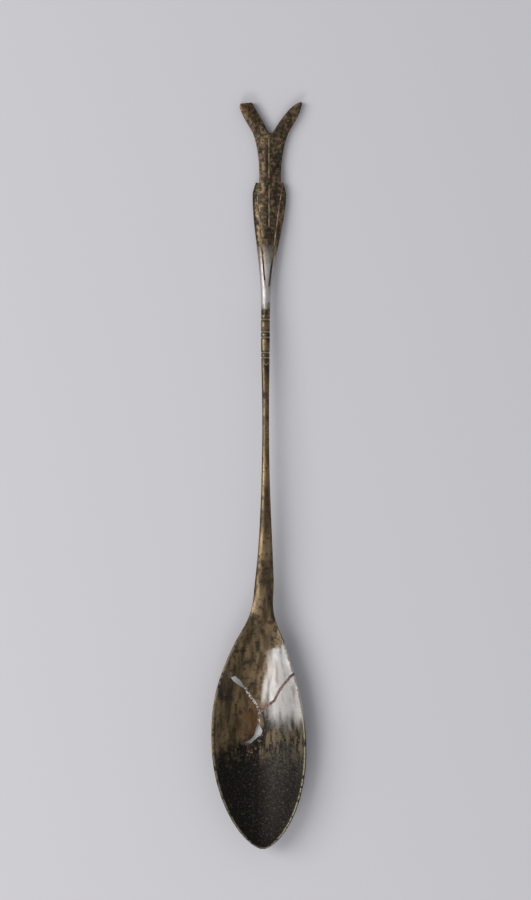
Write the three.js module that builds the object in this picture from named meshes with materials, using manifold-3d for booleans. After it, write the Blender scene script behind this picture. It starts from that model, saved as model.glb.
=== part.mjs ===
// A long-handled spoon with a leaf-shaped bowl, a slim shank and a forked finial.
// Millimetres. +Z is up, +Y runs from the bowl to the fork, and the origin is the flat under the belly.
import * as THREE from "three";
import { ParametricGeometry } from "three/addons/geometries/ParametricGeometry.js";
import { mergeVertices } from "three/addons/utils/BufferGeometryUtils.js";
import Module from "manifold-3d";

const wasm = await Module();
wasm.setup();

// Bowl
const BOWL_HALF_WIDTH = 15.8;
const BOWL_DEPTH = 8;
const TOE_LENGTH = 34.4;
const TOE_FULLNESS = 0.625;
const SHOULDER_LENGTH = 53.5;
const SHOULDER_DELAY = 1.3;
const STEM_BLEND_START = 34;
const HOLLOW_LENGTH = 46;
const HOLLOW_TOE_FULLNESS = 0.8;
const HOLLOW_ROUNDNESS = 1.9;
const WALL = 0.9;
const LIP_WIDTH = 0.8;
const LIP_ROUND = 0.15;
const LEAST_INNER_SHARE = 0.45;
const BELLY_FLAT = 0.25;

// Stem, which is the bowl's tang and the shank
const NECK_HALF_WIDTH = 3.25;
const NECK_HALF_THICKNESS = 1.3;
const SHANK_RADIUS = 1.15;
const TAPER_LENGTH = 55;
const COLLAR_RADIUS = 1.5;
const COLLAR_START = 110;
const COLLAR_RUN = 28;
const STEM_SQUARENESS = 2.5;
const ARCH_HEIGHT = 10;
const BAND_PLACES = [129.6, 131.3, 136.4, 138.3, 142.4];
const BAND_DEPTH = 0.16;
const BAND_HALF_WIDTH = 0.4;

// Joints
const SCARF_START = 55;
const SCARF_RUN = 20;
const SCARF_REACH = 4;
const SCARF_SOLDER = 0.5;
const FINIAL_START = 143.8;
const FINIAL_SOLDER = 0.2;
const TENON_RADIUS = 0.75;
const TENON_LENGTH = 5;
const SOCKET_CLEARANCE = 0.15;
const SOLDER_INSET = 0.15;

// Finial
const CALYX_END = 188.3;
const CALYX_MOUTH_HALF_WIDTH = 4.7;
const CALYX_HALF_WIDTH = 5.65;
const CALYX_WIDEST = 184.8;
const CALYX_HALF_THICKNESS = 1.8;
const CALYX_SWELL = 1.2;
const CALYX_SIDES = 24;
const STALK_HALF_WIDTH = 3.6;
const STALK_INSET = 4;
const CROTCH_PLACE = 205;
const CROTCH_HALF_WIDTH = 5.9;
const FORK_END = 215.6;
const FORK_SPREAD = 10.5;
const FORK_THICKNESS = 2.4;
const FORK_EDGE = 0.35;

// Widths of the mended breaks
const SEAM_WIDTH = 0.9;
const TIGHT_SEAM_WIDTH = 0.4;

const RIM = BOWL_DEPTH + WALL - BELLY_FLAT + LIP_ROUND;
const PRISM_HEIGHT = 40;
const OUTSIDE = 40;
const PAST_TOE = -TOE_LENGTH - OUTSIDE;
const CUTTER_REACH = 300;
const WELD = 1e-4;
const TOP_STEPS = 10;
const TENON_SIDES = 16;

// The hand-made axis wanders: each pair is a place along the spoon and its offset to the right.
const SWAY = [
  [-TOE_LENGTH, 1.65],
  [0, 0],
  [24, -0.6],
  [42, 0.4],
  [56, 1.25],
  [100, 1.15],
  [150, 0.65],
  [CALYX_WIDEST, 1.5],
  [FORK_END, 1.65],
];
const swayCurve = new THREE.CubicInterpolant(
  SWAY.map((pair) => pair[0]),
  SWAY.map((pair) => pair[1]),
  1,
);

// The breaks, from the rim inwards, as places seen from above. All four meet near the keel.
const JUNCTION = [0.2, 11];
const UPPER_HOLE_LEFT = [-9.6, 22.7];
const UPPER_HOLE_RIGHT = [-4.8, 19.3];
const LOWER_HOLE_TOP = [-0.2, 7.5];
const LOWER_HOLE_END = [-5.3, 0.6];
const LEFT_BREAK = [[-20, 27.5], UPPER_HOLE_LEFT];
const CENTRE_BREAK = [UPPER_HOLE_RIGHT, [-3.6, 17], [-1, 13.6], JUNCTION, LOWER_HOLE_TOP];
const RIGHT_BREAK = [[19, 30.5], [10.2, 23.3], [7, 19.1], [4.9, 14.9], JUNCTION];
const LOWER_BREAK = [LOWER_HOLE_END, [-10.4, -3.5], [-20, -9.1]];
const UPPER_HOLE = [UPPER_HOLE_LEFT, [-8.2, 23.2], [-6.6, 21.8], UPPER_HOLE_RIGHT, [-5.5, 19.1], [-8.7, 21.3]];
const LOWER_HOLE = [
  LOWER_HOLE_TOP,
  [0.4, 6],
  [1.2, 4.5],
  [0.7, 3.2],
  [-0.6, 2.2],
  [-2.9, 0.3],
  LOWER_HOLE_END,
  [-2.6, 1.9],
  [-1.6, 3.1],
  [-1.1, 5.2],
];

const clamp01 = (value) => THREE.MathUtils.clamp(value, 0, 1);
const smooth = (value) => THREE.MathUtils.smoothstep(value, 0, 1);
const sway = (y) => swayCurve.evaluate(y)[0];

// What is left of the taper at a place along the stem: 1 at the shoulder, 0 where the shank is slimmest.
function taperLeft(y) {
  return (1 - clamp01((y - SHOULDER_LENGTH) / TAPER_LENGTH)) ** 2;
}

function collarGrowth(y) {
  return (COLLAR_RADIUS - SHANK_RADIUS) * smooth((y - COLLAR_START) / COLLAR_RUN);
}

function bandCut(y) {
  const cuts = BAND_PLACES.map((place) => Math.max(0, 1 - Math.abs(y - place) / BAND_HALF_WIDTH));
  return BAND_DEPTH * Math.max(...cuts);
}

function stemHalfWidth(y) {
  return SHANK_RADIUS + (NECK_HALF_WIDTH - SHANK_RADIUS) * taperLeft(y) + collarGrowth(y) - bandCut(y);
}

function stemHalfThickness(y) {
  return SHANK_RADIUS + (NECK_HALF_THICKNESS - SHANK_RADIUS) * taperLeft(y) + collarGrowth(y) - bandCut(y);
}

function halfWidth(y) {
  if (y < 0) return BOWL_HALF_WIDTH * Math.max(0, 1 - (y / TOE_LENGTH) ** 2) ** TOE_FULLNESS;
  const neck = stemHalfWidth(y);
  return neck + (BOWL_HALF_WIDTH - neck) * (1 - smooth(clamp01(y / SHOULDER_LENGTH) ** SHOULDER_DELAY));
}

// Height of the stem's axis: level with the rim at the shoulder, arched, and flat on the ground at the fork.
function axisHeight(y) {
  const t = clamp01((y - SHOULDER_LENGTH) / (FORK_END - SHOULDER_LENGTH));
  const start = RIM - NECK_HALF_THICKNESS;
  const end = FORK_THICKNESS / 2;
  const s = 1 - t;
  return s ** 3 * start + 3 * s * s * t * ARCH_HEIGHT + (3 * s * t * t + t ** 3) * end;
}

function hollowDepth(y) {
  if (y < 0) return BOWL_DEPTH * Math.max(0, 1 - (-y / (TOE_LENGTH - LIP_WIDTH)) ** 2) ** HOLLOW_TOE_FULLNESS;
  return BOWL_DEPTH * (1 - smooth(y / HOLLOW_LENGTH));
}

// One closed row of points round the stem, in the order of bowlRow.
function stemRow(y) {
  const row = [];
  const power = 2 / STEM_SQUARENESS;
  const round = (value) => Math.sign(value) * Math.abs(value) ** power;
  const place = (angle) => [
    stemHalfWidth(y) * round(Math.cos(angle)),
    axisHeight(y) + stemHalfThickness(y) * round(Math.sin(angle)),
  ];
  const topSteps = TOP_STEPS + 4;
  const underSteps = TOP_STEPS + 2;
  for (let i = 2; i <= topSteps; i += 1) row.push(place(Math.PI * (1 - i / topSteps)));
  for (let i = 1; i <= underSteps; i += 1) row.push(place((-Math.PI * i) / underSteps));
  row.push(place(Math.PI * (1 - 1 / topSteps)));
  return row;
}

// One closed row of points round the bowl's wall: hollow, right lip, underside, left lip.
function bowlRow(y) {
  const half = halfWidth(y);
  const inner = Math.max(half - LIP_WIDTH, half * LEAST_INNER_SHARE);
  const crest = (half + inner) / 2;
  const depth = hollowDepth(y);
  const row = [];
  for (let i = 0; i <= TOP_STEPS; i += 1) {
    const q = -1 + (2 * i) / TOP_STEPS;
    row.push([inner * q, RIM - LIP_ROUND - depth * (1 - Math.abs(q) ** HOLLOW_ROUNDNESS)]);
  }
  row.push([crest, RIM], [half, RIM - 2 * LIP_ROUND]);
  for (let i = 0; i <= TOP_STEPS; i += 1) {
    const q = 1 - (2 * i) / TOP_STEPS;
    const under = depth + WALL - 3 * LIP_ROUND;
    row.push([crest * q, RIM - 4 * LIP_ROUND - under * (1 - Math.abs(q) ** HOLLOW_ROUNDNESS)]);
  }
  row.push([-half, RIM - 2 * LIP_ROUND], [-crest, RIM]);
  return row;
}

// The row at a place along the spoon, which turns from bowl to stem over the shoulder.
function spoonRow(y) {
  const share = smooth((y - STEM_BLEND_START) / (SHOULDER_LENGTH - STEM_BLEND_START));
  const stem = stemRow(y);
  return bowlRow(y).map(([x, z], i) => {
    const mixedX = THREE.MathUtils.lerp(x, stem[i][0], share);
    const mixedZ = THREE.MathUtils.lerp(z, stem[i][1], share);
    return new THREE.Vector3(sway(y) + mixedX, y, mixedZ);
  });
}

function solidFrom(geometry) {
  const bare = geometry.clone();
  bare.deleteAttribute("normal");
  bare.deleteAttribute("uv");
  const merged = mergeVertices(bare, WELD);
  const corners = [];
  for (let i = 0; i < merged.index.count; i += 3) {
    const [a, b, c] = [0, 1, 2].map((k) => merged.index.getX(i + k));
    if (a !== b && b !== c && c !== a) corners.push(a, b, c);
  }
  const vertProperties = merged.attributes.position.array;
  return new wasm.Manifold(new wasm.Mesh({ numProp: 3, vertProperties, triVerts: new Uint32Array(corners) }));
}

// A closed skin through rows of points, with a point at the middle of each end.
function loft(rows) {
  const around = rows[0].length;
  const middle = (row) => {
    const centre = row.reduce((sum, point) => sum.add(point), new THREE.Vector3()).divideScalar(around);
    return row.map(() => centre);
  };
  const all = [middle(rows[0]), ...rows, middle(rows.at(-1))];
  const last = all.length - 1;
  const place = (u, v, target) => {
    target.copy(all[Math.round(v * last)][Math.round(u * around) % around]);
  };
  return solidFrom(new ParametricGeometry(place, around, last));
}

function prism(outline) {
  const shape = new THREE.Shape(outline.map(([x, y]) => new THREE.Vector2(x, y)));
  const geometry = new THREE.ExtrudeGeometry(shape, { depth: PRISM_HEIGHT, bevelEnabled: false });
  return solidFrom(geometry.translate(0, 0, -PRISM_HEIGHT / 2));
}

// A prism whose outline is drawn from the side, along the spoon and up, and which runs right across it.
function sidePrism(outline) {
  const shape = new THREE.Shape(outline.map(([y, z]) => new THREE.Vector2(y, z)));
  const geometry = new THREE.ExtrudeGeometry(shape, { depth: PRISM_HEIGHT, bevelEnabled: false });
  geometry.translate(0, 0, -PRISM_HEIGHT / 2);
  const across = new THREE.Vector3(1, 0, 0);
  const along = new THREE.Vector3(0, 1, 0);
  const up = new THREE.Vector3(0, 0, 1);
  return solidFrom(geometry.applyMatrix4(new THREE.Matrix4().makeBasis(along, up, across)));
}

// The strip of a given width along a line of points.
function strip(path, width) {
  const points = path.map(([x, y]) => new THREE.Vector2(x, y));
  const offset = (side) =>
    points.map((point, i) => {
      const before = points[Math.max(i - 1, 0)];
      const after = points[Math.min(i + 1, points.length - 1)];
      const way = after.clone().sub(before).normalize();
      return [point.x - (side * way.y * width) / 2, point.y + (side * way.x * width) / 2];
    });
  return prism([...offset(-1), ...offset(1).reverse()]);
}

function stations(from, to, step) {
  const count = Math.ceil((to - from) / step);
  return Array.from({ length: count + 1 }, (_, i) => from + ((to - from) * i) / count);
}

function bowlBlank() {
  const toe = [0.995, 0.98, 0.95, 0.9, 0.83, 0.74, 0.63, 0.5, 0.36, 0.22, 0.1].map((t) => -t * TOE_LENGTH);
  const rest = stations(0, SCARF_START + SCARF_RUN, 2.5);
  const under = new THREE.BoxGeometry(CUTTER_REACH, CUTTER_REACH, PRISM_HEIGHT);
  under.translate(0, 0, -PRISM_HEIGHT / 2);
  return loft([...toe, ...rest].map(spoonRow)).subtract(solidFrom(under));
}

function stemBlank(from, to) {
  const bandEdges = BAND_PLACES.flatMap((place) => [place - BAND_HALF_WIDTH, place, place + BAND_HALF_WIDTH]);
  const inside = bandEdges.filter((y) => y > from && y < to);
  const places = [...new Set([...stations(from, to, 4), ...inside])].sort((a, b) => a - b);
  return loft(places.map(spoonRow));
}

// The scarf is a slope through the stem. Each cutter removes the stem on one side of it.
const scarfHeight = axisHeight(SCARF_START + SCARF_RUN / 2);
const scarfTop = scarfHeight + SCARF_REACH;
const scarfFoot = scarfHeight - SCARF_REACH;

function scarfSlope(shift) {
  return [
    [SCARF_START + shift, scarfTop],
    [SCARF_START + SCARF_RUN + shift, scarfFoot],
  ];
}

function beforeScarf(shift) {
  const [top, foot] = scarfSlope(shift);
  return sidePrism([top, [-CUTTER_REACH, scarfTop], [-CUTTER_REACH, scarfFoot], foot]);
}

function afterScarf(shift) {
  const [top, foot] = scarfSlope(shift);
  return sidePrism([top, foot, [CUTTER_REACH, scarfFoot], [CUTTER_REACH, scarfTop]]);
}

const seams = {
  left: strip(LEFT_BREAK, SEAM_WIDTH),
  centre: strip(CENTRE_BREAK, SEAM_WIDTH),
  right: strip(RIGHT_BREAK, SEAM_WIDTH),
  lower: strip(LOWER_BREAK, TIGHT_SEAM_WIDTH),
};
const holes = prism(UPPER_HOLE).add(prism(LOWER_HOLE));
const breaks = Object.values(seams).reduce((sum, seam) => sum.add(seam), holes);
const blank = bowlBlank();

const leftToJunction = [...LEFT_BREAK, ...CENTRE_BREAK.slice(0, -1)];
const junctionToLeft = [JUNCTION, LOWER_HOLE_TOP, [0.2, 4], [-2.7, 1.1], ...LOWER_BREAK];
const upperOutline = [
  ...leftToJunction,
  ...RIGHT_BREAK.slice(0, -1).reverse(),
  [OUTSIDE, CUTTER_REACH],
  [-OUTSIDE, CUTTER_REACH],
];
const leftOutline = [...leftToJunction, ...junctionToLeft.slice(1)].reverse();
const lowerOutline = [
  ...junctionToLeft,
  [-OUTSIDE, PAST_TOE],
  [OUTSIDE, PAST_TOE],
  [OUTSIDE, RIGHT_BREAK[0][1]],
  ...RIGHT_BREAK.slice(0, -1),
];

function fragment(outline) {
  return blank.intersect(prism(outline)).subtract(breaks);
}

const finialJoint = new THREE.Vector3(sway(FINIAL_START), FINIAL_START, axisHeight(FINIAL_START));

// A round bar along the spoon from the end of the shank.
function jointBar(radius, from, to) {
  const bar = new THREE.CylinderGeometry(radius, radius, to - from, TENON_SIDES);
  bar.translate(finialJoint.x, finialJoint.y + (from + to) / 2, finialJoint.z);
  return solidFrom(bar);
}

function makeShank() {
  const rod = stemBlank(SCARF_START - SCARF_RUN / 4, FINIAL_START).subtract(beforeScarf(SCARF_SOLDER));
  return rod.add(jointBar(TENON_RADIUS, -1, TENON_LENGTH));
}

function makeScarfSolder() {
  const stem = stemBlank(SCARF_START, SCARF_START + SCARF_RUN);
  return stem.subtract(beforeScarf(0)).subtract(afterScarf(SCARF_SOLDER));
}

function makeFinialSolder() {
  const neck = COLLAR_RADIUS - SOLDER_INSET;
  const socket = TENON_RADIUS + SOCKET_CLEARANCE;
  const sleeve = jointBar(socket, 0, TENON_LENGTH);
  return sleeve.add(jointBar(neck, 0, FINIAL_SOLDER)).subtract(jointBar(TENON_RADIUS, -1, TENON_LENGTH + 1));
}

function calyxHalfWidth(y) {
  const neck = COLLAR_RADIUS;
  const open = clamp01((y - FINIAL_START) / (CALYX_WIDEST - FINIAL_START));
  const closing = smooth((y - CALYX_WIDEST) / (CALYX_END - CALYX_WIDEST));
  const full = neck + (CALYX_HALF_WIDTH - neck) * smooth(open ** CALYX_SWELL);
  return full - (CALYX_HALF_WIDTH - CALYX_MOUTH_HALF_WIDTH) * closing;
}

function calyxRow(y) {
  const open = smooth((y - FINIAL_START) / (CALYX_WIDEST - FINIAL_START));
  const thick = THREE.MathUtils.lerp(COLLAR_RADIUS, CALYX_HALF_THICKNESS, open);
  return Array.from({ length: CALYX_SIDES }, (_, i) => {
    const angle = (-2 * Math.PI * i) / CALYX_SIDES;
    const x = sway(y) + calyxHalfWidth(y) * Math.cos(angle);
    return new THREE.Vector3(x, y, axisHeight(y) + thick * Math.sin(angle));
  });
}

function makeFork() {
  const middle = sway(FORK_END);
  const shape = new THREE.Shape();
  const foot = CALYX_END - STALK_INSET;
  const to = (x, y) => shape.lineTo(middle + x, y);
  const bend = (ax, ay, bx, by, x, y) => {
    shape.bezierCurveTo(middle + ax, ay, middle + bx, by, middle + x, y);
  };
  shape.moveTo(middle - STALK_HALF_WIDTH, foot);
  to(STALK_HALF_WIDTH, foot);
  to(STALK_HALF_WIDTH, CALYX_END + 3);
  bend(3.8, CROTCH_PLACE - 7, 4.8, CROTCH_PLACE - 3, CROTCH_HALF_WIDTH, CROTCH_PLACE);
  bend(7.5, CROTCH_PLACE + 3, 9.4, FORK_END - 5, FORK_SPREAD - 0.4, FORK_END - 2.1);
  to(FORK_SPREAD, FORK_END - 0.4);
  to(FORK_SPREAD - 0.7, FORK_END);
  bend(7.4, FORK_END - 0.9, 4.6, FORK_END - 3.6, 0.6, CROTCH_PLACE);
  to(-0.6, CROTCH_PLACE);
  bend(-2, CROTCH_PLACE + 3, -4, FORK_END - 4.5, 0.6 - FORK_SPREAD / 1.5, FORK_END - 0.4);
  to(0.3 - FORK_SPREAD, FORK_END - 0.8);
  to(-FORK_SPREAD, FORK_END - 1.8);
  bend(-9.6, FORK_END - 5, -7.6, CROTCH_PLACE + 3, -CROTCH_HALF_WIDTH, CROTCH_PLACE);
  bend(-4.8, CROTCH_PLACE - 3, -3.8, CROTCH_PLACE - 7, -STALK_HALF_WIDTH, CALYX_END + 3);
  to(-STALK_HALF_WIDTH, foot);
  const settings = {
    depth: FORK_THICKNESS - 2 * FORK_EDGE,
    bevelThickness: FORK_EDGE,
    bevelSize: FORK_EDGE,
    bevelOffset: -FORK_EDGE,
    bevelSegments: 2,
    curveSegments: 6,
  };
  return solidFrom(new THREE.ExtrudeGeometry(shape, settings).translate(0, 0, FORK_EDGE));
}

function makeFinial() {
  const start = FINIAL_START + FINIAL_SOLDER;
  const calyx = loft([...stations(start, CALYX_WIDEST, 3), 186.4, CALYX_END].map(calyxRow));
  const socket = jointBar(TENON_RADIUS + SOCKET_CLEARANCE, 0, TENON_LENGTH + SOCKET_CLEARANCE);
  return calyx.subtract(socket).add(makeFork());
}

function makeMaterial(color, roughness, metalness) {
  return new THREE.MeshStandardMaterial({ color, roughness, metalness });
}

const brownSilver = () => makeMaterial(0x6b5536, 0.45, 0.9);
const blackSilver = () => makeMaterial(0x28241c, 0.6, 0.8);
const mend = () => makeMaterial(0x8a7470, 0.7, 0.2);
const solder = () => makeMaterial(0x6d7360, 0.6, 0.7);

const spoon = new THREE.Group();

function addPiece(name, solid, material) {
  const { vertProperties, triVerts } = solid.getMesh();
  const geometry = new THREE.BufferGeometry();
  geometry.setAttribute("position", new THREE.Float32BufferAttribute(vertProperties, 3));
  geometry.setIndex(Array.from(triVerts));
  geometry.computeVertexNormals();
  const mesh = new THREE.Mesh(geometry, material);
  mesh.name = name;
  spoon.add(mesh);
}

addPiece("bowl_upper", fragment(upperOutline).subtract(afterScarf(0)), brownSilver());
addPiece("bowl_left", fragment(leftOutline), brownSilver());
addPiece("bowl_lower", fragment(lowerOutline), blackSilver());
addPiece("seam_left", blank.intersect(seams.left).subtract(holes), mend());
addPiece("seam_centre", blank.intersect(seams.centre).subtract(holes), mend());
addPiece("seam_right", blank.intersect(seams.right).subtract(seams.centre), mend());
addPiece("seam_lower", blank.intersect(seams.lower).subtract(holes), mend());
addPiece("scarf_solder", makeScarfSolder(), solder());
addPiece("shank", makeShank(), brownSilver());
addPiece("finial_solder", makeFinialSolder(), solder());
addPiece("finial", makeFinial(), brownSilver());

export default spoon;
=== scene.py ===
import math
import bmesh
import bpy
from mathutils import Matrix, Vector
from mathutils.bvhtree import BVHTree


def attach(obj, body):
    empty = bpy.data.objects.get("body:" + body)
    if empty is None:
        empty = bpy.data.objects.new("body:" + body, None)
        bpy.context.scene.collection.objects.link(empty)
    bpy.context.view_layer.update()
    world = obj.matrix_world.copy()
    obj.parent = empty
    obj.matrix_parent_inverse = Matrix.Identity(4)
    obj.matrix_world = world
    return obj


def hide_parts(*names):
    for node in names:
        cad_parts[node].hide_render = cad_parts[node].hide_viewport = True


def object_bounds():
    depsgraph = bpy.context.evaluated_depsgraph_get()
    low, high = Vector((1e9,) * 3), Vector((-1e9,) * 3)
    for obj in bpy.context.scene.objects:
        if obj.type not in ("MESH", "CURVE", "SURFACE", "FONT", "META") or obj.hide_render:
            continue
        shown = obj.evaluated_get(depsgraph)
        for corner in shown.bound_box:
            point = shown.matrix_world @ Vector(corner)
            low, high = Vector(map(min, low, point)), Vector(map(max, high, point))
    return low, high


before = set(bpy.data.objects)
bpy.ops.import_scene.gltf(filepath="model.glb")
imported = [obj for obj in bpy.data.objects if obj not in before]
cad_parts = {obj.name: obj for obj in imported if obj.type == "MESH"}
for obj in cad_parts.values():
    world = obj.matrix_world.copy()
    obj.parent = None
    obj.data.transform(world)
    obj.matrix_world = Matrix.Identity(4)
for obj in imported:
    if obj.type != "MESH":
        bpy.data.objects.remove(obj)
cad_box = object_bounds()

# Metres. The bowl's toe points to -Y, the fork to +Y and the hollow opens to +Z.
IMAGE_WIDTH = 531
IMAGE_HEIGHT = 900
SPOON_TOP_IN_IMAGE = 102
SPOON_FOOT_IN_IMAGE = 846.3
SPOON_MIDDLE_IN_IMAGE = 267.1
LEAN_IN_IMAGE = math.radians(0.63)
CAMERA_DISTANCE = 1.3
SPOON_AXIS_X = 0.00165
FLOOR_HALF_SIZE = 3
FLOOR_DEPTH = 0.0002
CREASE_ANGLE = math.radians(32)
ABOVE_SPOON = 0.05
PIT_HEIGHT = 0.00005

SOLDER_PIECES = ["scarf_solder", "finial_solder"]


class Value:
    """A number that varies over a surface, so that maths on it reads as an expression."""

    def __init__(self, shader, socket):
        self.shader = shader
        self.socket = socket

    def maths(self, operation, first, second):
        settings = {"operation": operation, "use_clamp": False}
        node = self.shader.add("ShaderNodeMath", settings, {0: first, 1: second})
        return Value(self.shader, node.outputs[0])

    def __add__(self, other):
        return self.maths("ADD", self, other)

    def __radd__(self, other):
        return self.maths("ADD", other, self)

    def __sub__(self, other):
        return self.maths("SUBTRACT", self, other)

    def __rsub__(self, other):
        return self.maths("SUBTRACT", other, self)

    def __mul__(self, other):
        return self.maths("MULTIPLY", self, other)

    def __rmul__(self, other):
        return self.maths("MULTIPLY", other, self)

    def __abs__(self):
        return self.maths("ABSOLUTE", self, 0)


class Shader:
    """A node material with its nodes added by type, settings and socket values."""

    def __init__(self, name):
        self.material = bpy.data.materials.new(name)
        self.material.use_nodes = True
        self.tree = self.material.node_tree
        self.surface = self.tree.nodes["Principled BSDF"]
        self.place = self.add("ShaderNodeTexCoord").outputs["Object"]

    def feed(self, socket, value):
        if isinstance(value, Value):
            value = value.socket
        if isinstance(value, bpy.types.NodeSocket):
            self.tree.links.new(value, socket)
        else:
            socket.default_value = value

    def add(self, kind, settings=None, sockets=None):
        node = self.tree.nodes.new(kind)
        for name, setting in (settings or {}).items():
            setattr(node, name, setting)
        for name, value in (sockets or {}).items():
            self.feed(node.inputs[name], value)
        return node

    def stretched(self, scale):
        node = self.add("ShaderNodeMapping", None, {"Vector": self.place, "Scale": scale})
        return node.outputs["Vector"]

    def noise(self, scale, detail=4.0, stretch=(1, 1, 1)):
        sockets = {"Vector": self.stretched(stretch), "Scale": scale, "Detail": detail}
        return Value(self, self.add("ShaderNodeTexNoise", None, sockets).outputs["Fac"])

    def step(self, value, low, high):
        sockets = {"Value": value, "From Min": low, "From Max": high}
        node = self.add("ShaderNodeMapRange", {"interpolation_type": "SMOOTHSTEP", "clamp": True}, sockets)
        return Value(self, node.outputs["Result"])

    def axis(self, letter):
        node = self.add("ShaderNodeSeparateXYZ", None, {0: self.place})
        return Value(self, node.outputs[letter])

    def mix(self, share, first, second):
        node = self.add("ShaderNodeMix", {"data_type": "RGBA"}, {0: share, 6: first, 7: second})
        return node.outputs[2]

    def finish(self, color, roughness, metallic, height, strength):
        self.feed(self.surface.inputs["Base Color"], color)
        self.feed(self.surface.inputs["Roughness"], roughness)
        self.feed(self.surface.inputs["Metallic"], metallic)
        sockets = {"Strength": strength, "Distance": PIT_HEIGHT, "Height": height}
        bump = self.add("ShaderNodeBump", None, sockets)
        self.feed(self.surface.inputs["Normal"], bump.outputs["Normal"])
        return self.material


BROWN = (0.070, 0.047, 0.024, 1)
GOLD = (0.225, 0.158, 0.085, 1)
DARK_SPOT = (0.018, 0.017, 0.014, 1)
RUST = (0.150, 0.060, 0.020, 1)
BLACK = (0.008, 0.0075, 0.0065, 1)
GREY_GREEN = (0.160, 0.160, 0.110, 1)
DULL_GREEN = (0.058, 0.057, 0.047, 1)
# Pale tone of the worn ribs, and of the painted highlight on the lip's crest and the band lines.
WEAR_AND_HIGHLIGHT_PALE = (0.260, 0.225, 0.150, 1)
# Colours of the painted highlight on the bowl and the calyx.
HIGHLIGHT_SILVER = (0.60, 0.575, 0.55, 1)
STREAKED_HIGHLIGHT = (0.30, 0.27, 0.25, 1)
ROSE = (0.34, 0.17, 0.14, 1)
RIM_HEIGHT = 0.0088
BAND_PLACES = (0.1296, 0.1313, 0.1364, 0.1383, 0.1424)
# Where and how the two dark lines run through the calyx's painted highlight.
HIGHLIGHT_GAP_FOOT = 0.1546
LEFT_HIGHLIGHT_GAP = (0.0003, -0.095)
RIGHT_HIGHLIGHT_GAP = (0.0018, 0.114)


def tarnish(s):
    """Brown drawn out along the spoon under soft dark spots of two sizes: colour and how spotted it is."""
    streaks = s.step(s.noise(480, 7, (1, 0.2, 1)), 0.34, 0.68)
    broad = s.step(s.noise(330, 2, (1, 0.7, 1)), 0.52, 0.70)
    small = s.step(s.noise(1050, 3), 0.54, 0.70)
    grains = s.step(s.noise(2600, 2), 0.64, 0.74)
    color = s.mix(streaks, BROWN, GOLD)
    color = s.mix(broad * 0.75, color, DARK_SPOT)
    color = s.mix(small * 0.65, color, DARK_SPOT)
    color = s.mix(grains * 0.45, color, GREY_GREEN)
    return color, broad * 0.6 + small * 0.4


def painted_lip_highlight(s, color):
    """The crest of the bowl's lip, given a painted highlight in broken stretches where it catches the light.
    """
    # Painted highlight along the crest.
    crest = s.step(s.axis("Z"), RIM_HEIGHT - 0.00022, RIM_HEIGHT - 0.00006)
    kept = s.step(s.noise(700, 4), 0.36, 0.52)
    below_neck = 1 - s.step(s.axis("Y"), 0.0380, 0.0420)
    return s.mix(crest * kept * below_neck * 0.9, color, WEAR_AND_HIGHLIGHT_PALE)


def painted_highlight(s, color, share):
    """Painted highlight: bright silver with streaks along the bowl and a little rose where the mends are
    near.
    """
    streaks = s.step(s.noise(620, 5, (1, 0.12, 1)), 0.50, 0.72)
    rose = s.step(s.noise(300, 4, (1, 0.4, 1)), 0.56, 0.70)
    pits = s.step(s.noise(1500, 2), 0.70, 0.74)
    highlight_color = s.mix(streaks * 0.8, HIGHLIGHT_SILVER, STREAKED_HIGHLIGHT)
    highlight_color = s.mix(rose * 0.30, highlight_color, ROSE)
    highlight_color = s.mix(pits * 0.8, highlight_color, DARK_SPOT)
    return s.mix(share, color, highlight_color)


def calyx_silver(name):
    """The finial's dark mottle, with a painted highlight where the calyx begins, left out along two dark
    lines by the side ribs, and rusty at the left prong.
    """
    s = Shader(name)
    color, spotted = tarnish(s)
    across, along = s.axis("X"), s.axis("Y")
    mottled = s.step(s.noise(850, 5), 0.36, 0.56)
    gold = s.step(s.noise(1800, 3), 0.56, 0.66)
    color = s.mix(mottled * 0.75, color, BLACK)
    color = s.mix(gold * 0.4, color, GOLD)
    tip = s.step(along, 0.2095, 0.2130) * (1 - s.step(across, -0.0050, -0.0030))
    color = s.mix(tip * s.step(s.noise(700, 4), 0.42, 0.60) * 0.65, color, RUST)
    # Two dark lines along the side ribs where the painted highlight is left out.
    highlight_gaps = 0
    for foot, lean in (LEFT_HIGHLIGHT_GAP, RIGHT_HIGHLIGHT_GAP):
        away = abs(across - foot - (along - HIGHLIGHT_GAP_FOOT) * lean)
        highlight_gaps = highlight_gaps + (1 - s.step(away, 0.00022, 0.00050))
    highlight_gaps = highlight_gaps * s.step(along, 0.1520, 0.1545)
    # The painted highlight's band across the calyx, with a ragged edge.
    ragged = along + (s.noise(900, 4, (1, 0.5, 1)) - 0.5) * 0.006
    highlight_band = s.step(ragged, 0.1450, 0.1485) * (1 - s.step(ragged, 0.1585, 0.1690))
    color = painted_highlight(s, color, highlight_band * (1 - highlight_gaps * 0.85) * 0.72)
    return s.finish(color, 0.42 + 0.24 * spotted, 0.85, s.noise(1700, 6), 0.6)


def banded_silver(name):
    """The shank's tarnish, with a painted highlight along each engraved band line and painted shade on either
    side of it.
    """
    s = Shader(name)
    color, spotted = tarnish(s)
    along = s.axis("Y")
    pale, dark = 0, 0
    for place in BAND_PLACES:
        away = abs(along - place)
        pale = pale + (1 - s.step(away, 0.00018, 0.00034))
        dark = dark + (1 - s.step(away, 0.00055, 0.00095))
    # Painted shade on either side of each band line, then a painted highlight along the line itself.
    color = s.mix(dark * 0.6, color, DARK_SPOT)
    color = s.mix(pale * 0.8, color, WEAR_AND_HIGHLIGHT_PALE)
    return s.finish(color, 0.36 + 0.26 * spotted, 0.85, s.noise(1700, 6), 0.6)


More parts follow.
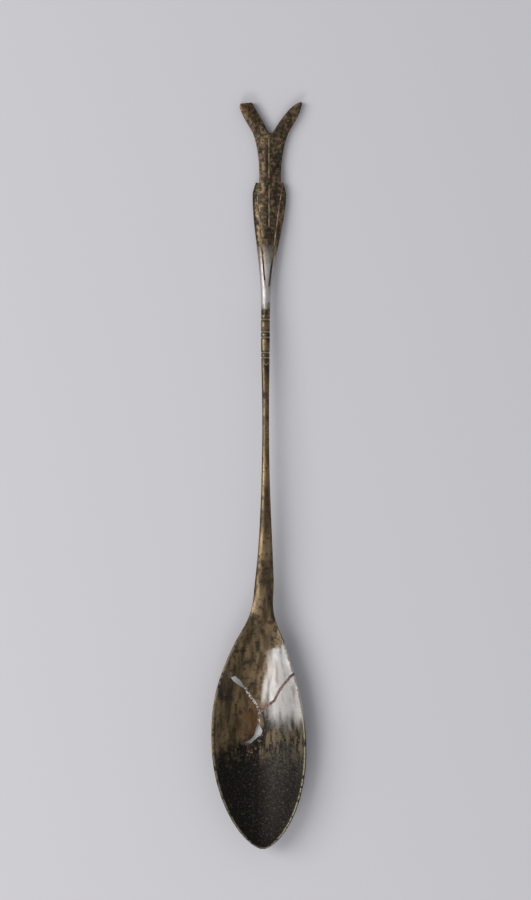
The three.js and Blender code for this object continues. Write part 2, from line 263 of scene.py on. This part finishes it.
def upper_bowl_silver(name):
    """The shoulder, brown on the left, with a painted highlight down its right slope."""
    s = Shader(name)
    color, spotted = tarnish(s)
    blots = s.step(s.noise(420, 3), 0.56, 0.64)
    color = s.mix(blots * 0.6, color, DARK_SPOT)
    edge = (s.noise(900, 4, (1, 0.15, 1)) - 0.5) * 0.0042
    top = (s.noise(420, 4) - 0.5) * 0.0045
    across, along = s.axis("X"), s.axis("Y")
    # Painted highlight down the right slope, ragged at its left edge and its top.
    highlight_slope = s.step(across + edge, 0.0012, 0.0052) * (1 - s.step(along + top - across * 0.5, 0.0294, 0.0310))
    # A narrow painted highlight streak down the middle of the hollow.
    middle = (along - 0.0155) * 0.121 + 0.0013
    highlight_streak = 1 - s.step(abs(across - middle), 0.00010, 0.00130)
    highlight_streak = highlight_streak * s.step(along, 0.0120, 0.0165) * (1 - s.step(along, 0.0205, 0.0255))
    color = painted_highlight(s, color, highlight_slope * 0.95)
    color = s.mix(highlight_streak * 0.7, color, HIGHLIGHT_SILVER)
    color = painted_lip_highlight(s, color)
    return s.finish(color, 0.38 + 0.22 * spotted - 0.06 * highlight_slope, 0.85, s.noise(1300, 6), 0.5)


def left_bowl_silver(name):
    """The brown piece between the openings, rusty beside the mend and blackened at its foot."""
    s = Shader(name)
    color, spotted = tarnish(s)
    across, along = s.axis("X"), s.axis("Y")
    near_mend = s.step(across, -0.0085, -0.0025)
    rust = s.step(s.noise(560, 5, (1, 0.5, 1)), 0.34, 0.60) * near_mend
    color = s.mix(rust * 0.6, color, RUST)
    ragged = (s.noise(330, 5) - 0.5) * 0.012
    foot = 1 - s.step(along - across * 0.45 + ragged, 0.0015, 0.0062)
    color = s.mix(foot * 0.92, color, BLACK)
    corner = s.step(along + ragged * 0.4, 0.0150, 0.0185) * (1 - s.step(across, -0.0095, -0.0065))
    color = s.mix(corner * 0.6, color, DARK_SPOT)
    color = painted_lip_highlight(s, color)
    return s.finish(color, 0.42 + 0.22 * spotted, 0.85, s.noise(1300, 6), 0.5)


def black_silver(name, with_painted_highlight):
    """The toe, black under fine gold and pale specks that gather near the opening; with the flag, a painted
    highlight down its right slope.
    """
    s = Shader(name)
    across, along = s.axis("X"), s.axis("Y")
    fine = s.step(s.noise(2100, 3), 0.55, 0.68)
    specks = s.step(s.noise(1250, 4), 0.56, 0.70)
    pale = s.step(s.noise(2900, 2), 0.64, 0.72)
    gather = s.step(along + (s.noise(300, 4) - 0.5) * 0.016, -0.0080, 0.0020)
    streaks = s.step(s.noise(700, 5, (1, 0.25, 1)), 0.46, 0.62)
    color = s.mix(fine * 0.45, BLACK, BROWN)
    color = s.mix(specks * (0.30 + 0.5 * gather), color, GOLD)
    color = s.mix(gather * streaks * 0.55, color, GOLD)
    right = s.step(across + (s.noise(300, 4) - 0.5) * 0.012, 0.0005, 0.0070) * s.step(along, -0.0170, -0.0030)
    color = s.mix(right * s.step(s.noise(1500, 4), 0.42, 0.60) * 0.6, color, DULL_GREEN)
    under_hole = s.step(across, -0.0060, -0.0045) * (1 - s.step(across, 0.0008, 0.0022))
    under_hole = under_hole * s.step(along, -0.0055, -0.0035)
    color = s.mix(under_hole * specks * 0.8, color, GOLD)
    color = s.mix(pale * 0.55, color, GREY_GREEN)
    roughness = 0.55 + 0.12 * specks
    # With the flag, a painted highlight down the right slope, where the surface is also made smoother.
    if with_painted_highlight:
        edge = (s.noise(520, 4, (1, 0.2, 1)) - 0.5) * 0.006
        fall = (s.noise(420, 5, (1, 0.4, 1)) - 0.5) * 0.009
        highlight_slope = s.step(along + fall, 0.0040, 0.0130) * s.step(across + edge, 0.0008, 0.0052)
        color = painted_highlight(s, color, highlight_slope * 0.93)
        roughness = roughness - 0.20 * highlight_slope
    color = painted_lip_highlight(s, color)
    return s.finish(color, roughness, 0.80, s.noise(1500, 6), 0.7)


def rubbed_rib_with_painted_shade(name):
    """The raised ribs, rubbed paler than the face they stand on, with painted shade where they cross the
    calyx's painted highlight.
    """
    s = Shader(name)
    rubbed = s.step(s.noise(800, 4), 0.40, 0.60)
    color = s.mix(rubbed, GOLD, WEAR_AND_HIGHLIGHT_PALE)
    # Painted shade on the ribs where they cross the calyx's painted highlight.
    shade_in_highlight = s.step(s.axis("Y"), 0.1430, 0.1460) * (1 - s.step(s.axis("Y"), 0.1600, 0.1700))
    color = s.mix(shade_in_highlight * 0.85, color, DARK_SPOT)
    return s.finish(color, 0.40 + 0.1 * rubbed, 0.85, s.noise(1700, 4), 0.5)


def grainy_mend(name, pale, red_share):
    """Granular mend with some red in it, dark where it nears the rim."""
    s = Shader(name)
    grains = s.step(s.noise(1700, 3), 0.44, 0.60)
    red = s.step(s.noise(420, 3), 0.46, 0.60)
    near_rim = s.step(abs(s.axis("X")), 0.0080, 0.0120)
    color = s.mix(grains, (0.060, 0.040, 0.034, 1), pale)
    color = s.mix(red * red_share, color, (0.22, 0.085, 0.070, 1))
    color = s.mix(near_rim * 0.7, color, DARK_SPOT)
    return s.finish(color, 0.55 + 0.2 * grains, 0.25, grains, 1.0)


def old_solder(name):
    """Solder as brown as the metal round it, green where its copper has come out."""
    s = Shader(name)
    color, spotted = tarnish(s)
    green = s.step(s.noise(900, 3), 0.54, 0.64)
    color = s.mix(green * 0.5, color, (0.085, 0.120, 0.065, 1))
    return s.finish(color, 0.42 + 0.24 * spotted, 0.75, s.noise(1500, 4), 0.7)


def smooth_copy(node):
    """A copy of a solid, with its curved faces shaded smooth and its real edges kept."""
    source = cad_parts[node]
    source = source if hasattr(source, "data") else bpy.data.objects[node]
    mesh = source.data.copy()
    mesh.name = node + "_surface"
    mesh.materials.clear()
    shape = bmesh.new()
    shape.from_mesh(mesh)
    bmesh.ops.remove_doubles(shape, verts=shape.verts, dist=1e-7)
    for face in shape.faces:
        face.smooth = True
    for edge in shape.edges:
        edge.smooth = len(edge.link_faces) == 2 and edge.calc_face_angle() < CREASE_ANGLE
    shape.to_mesh(mesh)
    shape.free()
    piece = bpy.data.objects.new(node + "_surface", mesh)
    bpy.context.collection.objects.link(piece)
    return piece


def dress(node, material):
    piece = smooth_copy(node)
    piece.data.materials.append(material)
    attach(piece, "root")
    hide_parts(node)
    return piece


def bar_between(shape, start, end, radius):
    """A raised round bar from one place to another, for a ridge or an engraved line."""
    start, end = Vector(start), Vector(end)
    turn = (end - start).to_track_quat("Z", "Y").to_matrix().to_4x4()
    matrix = Matrix.Translation((start + end) / 2) @ turn
    bmesh.ops.create_cone(
        shape, cap_ends=True, segments=8, radius1=radius, radius2=radius,
        depth=(end - start).length, matrix=matrix,
    )


def surface_tree(piece):
    shape = bmesh.new()
    shape.from_mesh(piece.data)
    tree = BVHTree.FromBMesh(shape)
    shape.free()
    return tree


def top_of(x, y):
    """Height of the handle's top surface at a place seen from above."""
    heights = []
    for tree in handle_trees:
        place = tree.ray_cast(Vector((x, y, ABOVE_SPOON)), Vector((0, 0, -1)))[0]
        if place:
            heights.append(place.z)
    return max(heights)


def ridge(name, path, radius, sink, material):
    """A fine raised rib or line that follows the top of the handle."""
    shape = bmesh.new()
    places = [(x, y, top_of(x, y) - sink) for x, y in path]
    for start, end in zip(places, places[1:]):
        bar_between(shape, start, end, radius)
    mesh = bpy.data.meshes.new(name)
    shape.to_mesh(mesh)
    shape.free()
    piece = bpy.data.objects.new(name, mesh)
    bpy.context.collection.objects.link(piece)
    mesh.materials.append(material)
    for polygon in mesh.polygons:
        polygon.use_smooth = True
    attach(piece, "root")
    return piece


RIB_RADIUS = 0.00024
RIB_SINK = 0.00009
CHEVRON_RADIUS = 0.00018
CHEVRON_SINK = 0.00004
MEDIAN_RIB = [(0.00148, 0.1734), (0.00145, 0.178), (0.00140, 0.183), (0.00135, 0.1876)]
STALK_RIB = [(0.00130, 0.1892), (0.00122, 0.195), (0.00117, 0.200), (0.00113, 0.2045)]
LEFT_RIB = [(-0.0027, 0.1875), (-0.0023, 0.1804), (-0.0014, 0.1724), (-0.00085, 0.166),
            (-0.0003, 0.1606), (0.0002, 0.1556)]
RIGHT_RIB = [(0.0058, 0.1875), (0.0051, 0.1825), (0.0040, 0.1737), (0.0033, 0.1672),
             (0.0024, 0.1606), (0.0017, 0.1536)]
CHEVRON = [(-0.0002, 0.1286), (0.0001, 0.12825), (0.0004, 0.1279), (0.0007, 0.12755), (0.0010, 0.1272),
           (0.0013, 0.1275), (0.0016, 0.1278), (0.0020, 0.1282)]


def make_ribs(material):
    """The ribs of the calyx and stalk, and the chevron below the lowest band."""
    for name, path in (("median_rib", MEDIAN_RIB), ("stalk_rib", STALK_RIB),
                       ("left_rib", LEFT_RIB), ("right_rib", RIGHT_RIB)):
        ridge(name, path, RIB_RADIUS, RIB_SINK, material)
    ridge("chevron", CHEVRON, CHEVRON_RADIUS, CHEVRON_SINK, material)


def make_floor():
    mesh = bpy.data.meshes.new("floor")
    shape = bmesh.new()
    bmesh.ops.create_grid(shape, x_segments=1, y_segments=1, size=FLOOR_HALF_SIZE)
    bmesh.ops.translate(shape, verts=shape.verts, vec=(0, 0, -FLOOR_DEPTH))
    shape.to_mesh(mesh)
    shape.free()
    floor = bpy.data.objects.new("floor", mesh)
    bpy.context.collection.objects.link(floor)
    s = Shader("floor_grey")
    s.surface.inputs["Base Color"].default_value = (0.55, 0.54, 0.56, 1)
    s.surface.inputs["Roughness"].default_value = 0.9
    mesh.materials.append(s.material)


def make_lamp(name, place, target, size, power):
    lamp = bpy.data.lights.new(name, "AREA")
    lamp.shape = "RECTANGLE"
    lamp.size, lamp.size_y = size
    lamp.energy = power
    holder = bpy.data.objects.new(name, lamp)
    holder.location = place
    holder.rotation_euler = (Vector(target) - Vector(place)).to_track_quat("-Z", "Y").to_euler()
    bpy.context.collection.objects.link(holder)


def light_scene():
    world = bpy.data.worlds.new("studio")
    world.use_nodes = True
    bpy.context.scene.world = world
    background = world.node_tree.nodes["Background"]
    background.inputs["Color"].default_value = (0.80, 0.81, 0.84, 1)
    background.inputs["Strength"].default_value = 0.55
    make_lamp("upper_left", (-0.75, 0.25, 0.85), (0, 0.05, 0), (0.5, 0.9), 8)
    make_lamp("foot", (-0.35, -0.85, 0.70), (0, 0.05, 0), (0.7, 0.35), 5)


def place_camera():
    """Straight above the spoon, turned and set so that it fills the photograph's frame."""
    low, high = cad_box
    length = high[1] - low[1]
    metres_per_pixel = length / (SPOON_FOOT_IN_IMAGE - SPOON_TOP_IN_IMAGE)
    centre_y = (high[1] + low[1]) / 2
    down_image = IMAGE_HEIGHT / 2 - (SPOON_TOP_IN_IMAGE + SPOON_FOOT_IN_IMAGE) / 2
    across_image = IMAGE_WIDTH / 2 - SPOON_MIDDLE_IN_IMAGE
    camera = bpy.data.cameras.new("camera")
    camera.sensor_fit = "VERTICAL"
    camera.sensor_height = 24
    camera.lens = camera.sensor_height * CAMERA_DISTANCE / (IMAGE_HEIGHT * metres_per_pixel)
    camera.clip_start = 0.05
    holder = bpy.data.objects.new("camera", camera)
    camera_x = SPOON_AXIS_X + across_image * metres_per_pixel
    camera_y = centre_y - down_image * metres_per_pixel
    holder.location = (camera_x, camera_y, CAMERA_DISTANCE)
    holder.rotation_euler = (0, 0, LEAN_IN_IMAGE)
    bpy.context.collection.objects.link(holder)
    bpy.context.scene.camera = holder


dress("bowl_upper", upper_bowl_silver("upper_bowl_silver"))
dress("bowl_left", left_bowl_silver("left_bowl_silver"))
dress("bowl_lower", black_silver("toe_silver", True))
handle = [
    dress("shank", banded_silver("shank_silver")),
    dress("finial", calyx_silver("calyx_silver")),
]
handle_trees = [surface_tree(piece) for piece in handle]
dress("seam_left", grainy_mend("brown_mend", (0.16, 0.125, 0.105, 1), 0.3))
dress("seam_centre", grainy_mend("pale_mend", (0.50, 0.47, 0.44, 1), 0.15))
dress("seam_right", grainy_mend("mauve_mend", (0.26, 0.185, 0.175, 1), 0.45))
dress("seam_lower", black_silver("dark_mend", False))
solder = old_solder("old_solder")
for node in SOLDER_PIECES:
    dress(node, solder)
make_ribs(rubbed_rib_with_painted_shade("rubbed_rib_with_painted_shade"))
make_floor()
light_scene()
place_camera()
bpy.context.scene.view_settings.view_transform = "Standard"
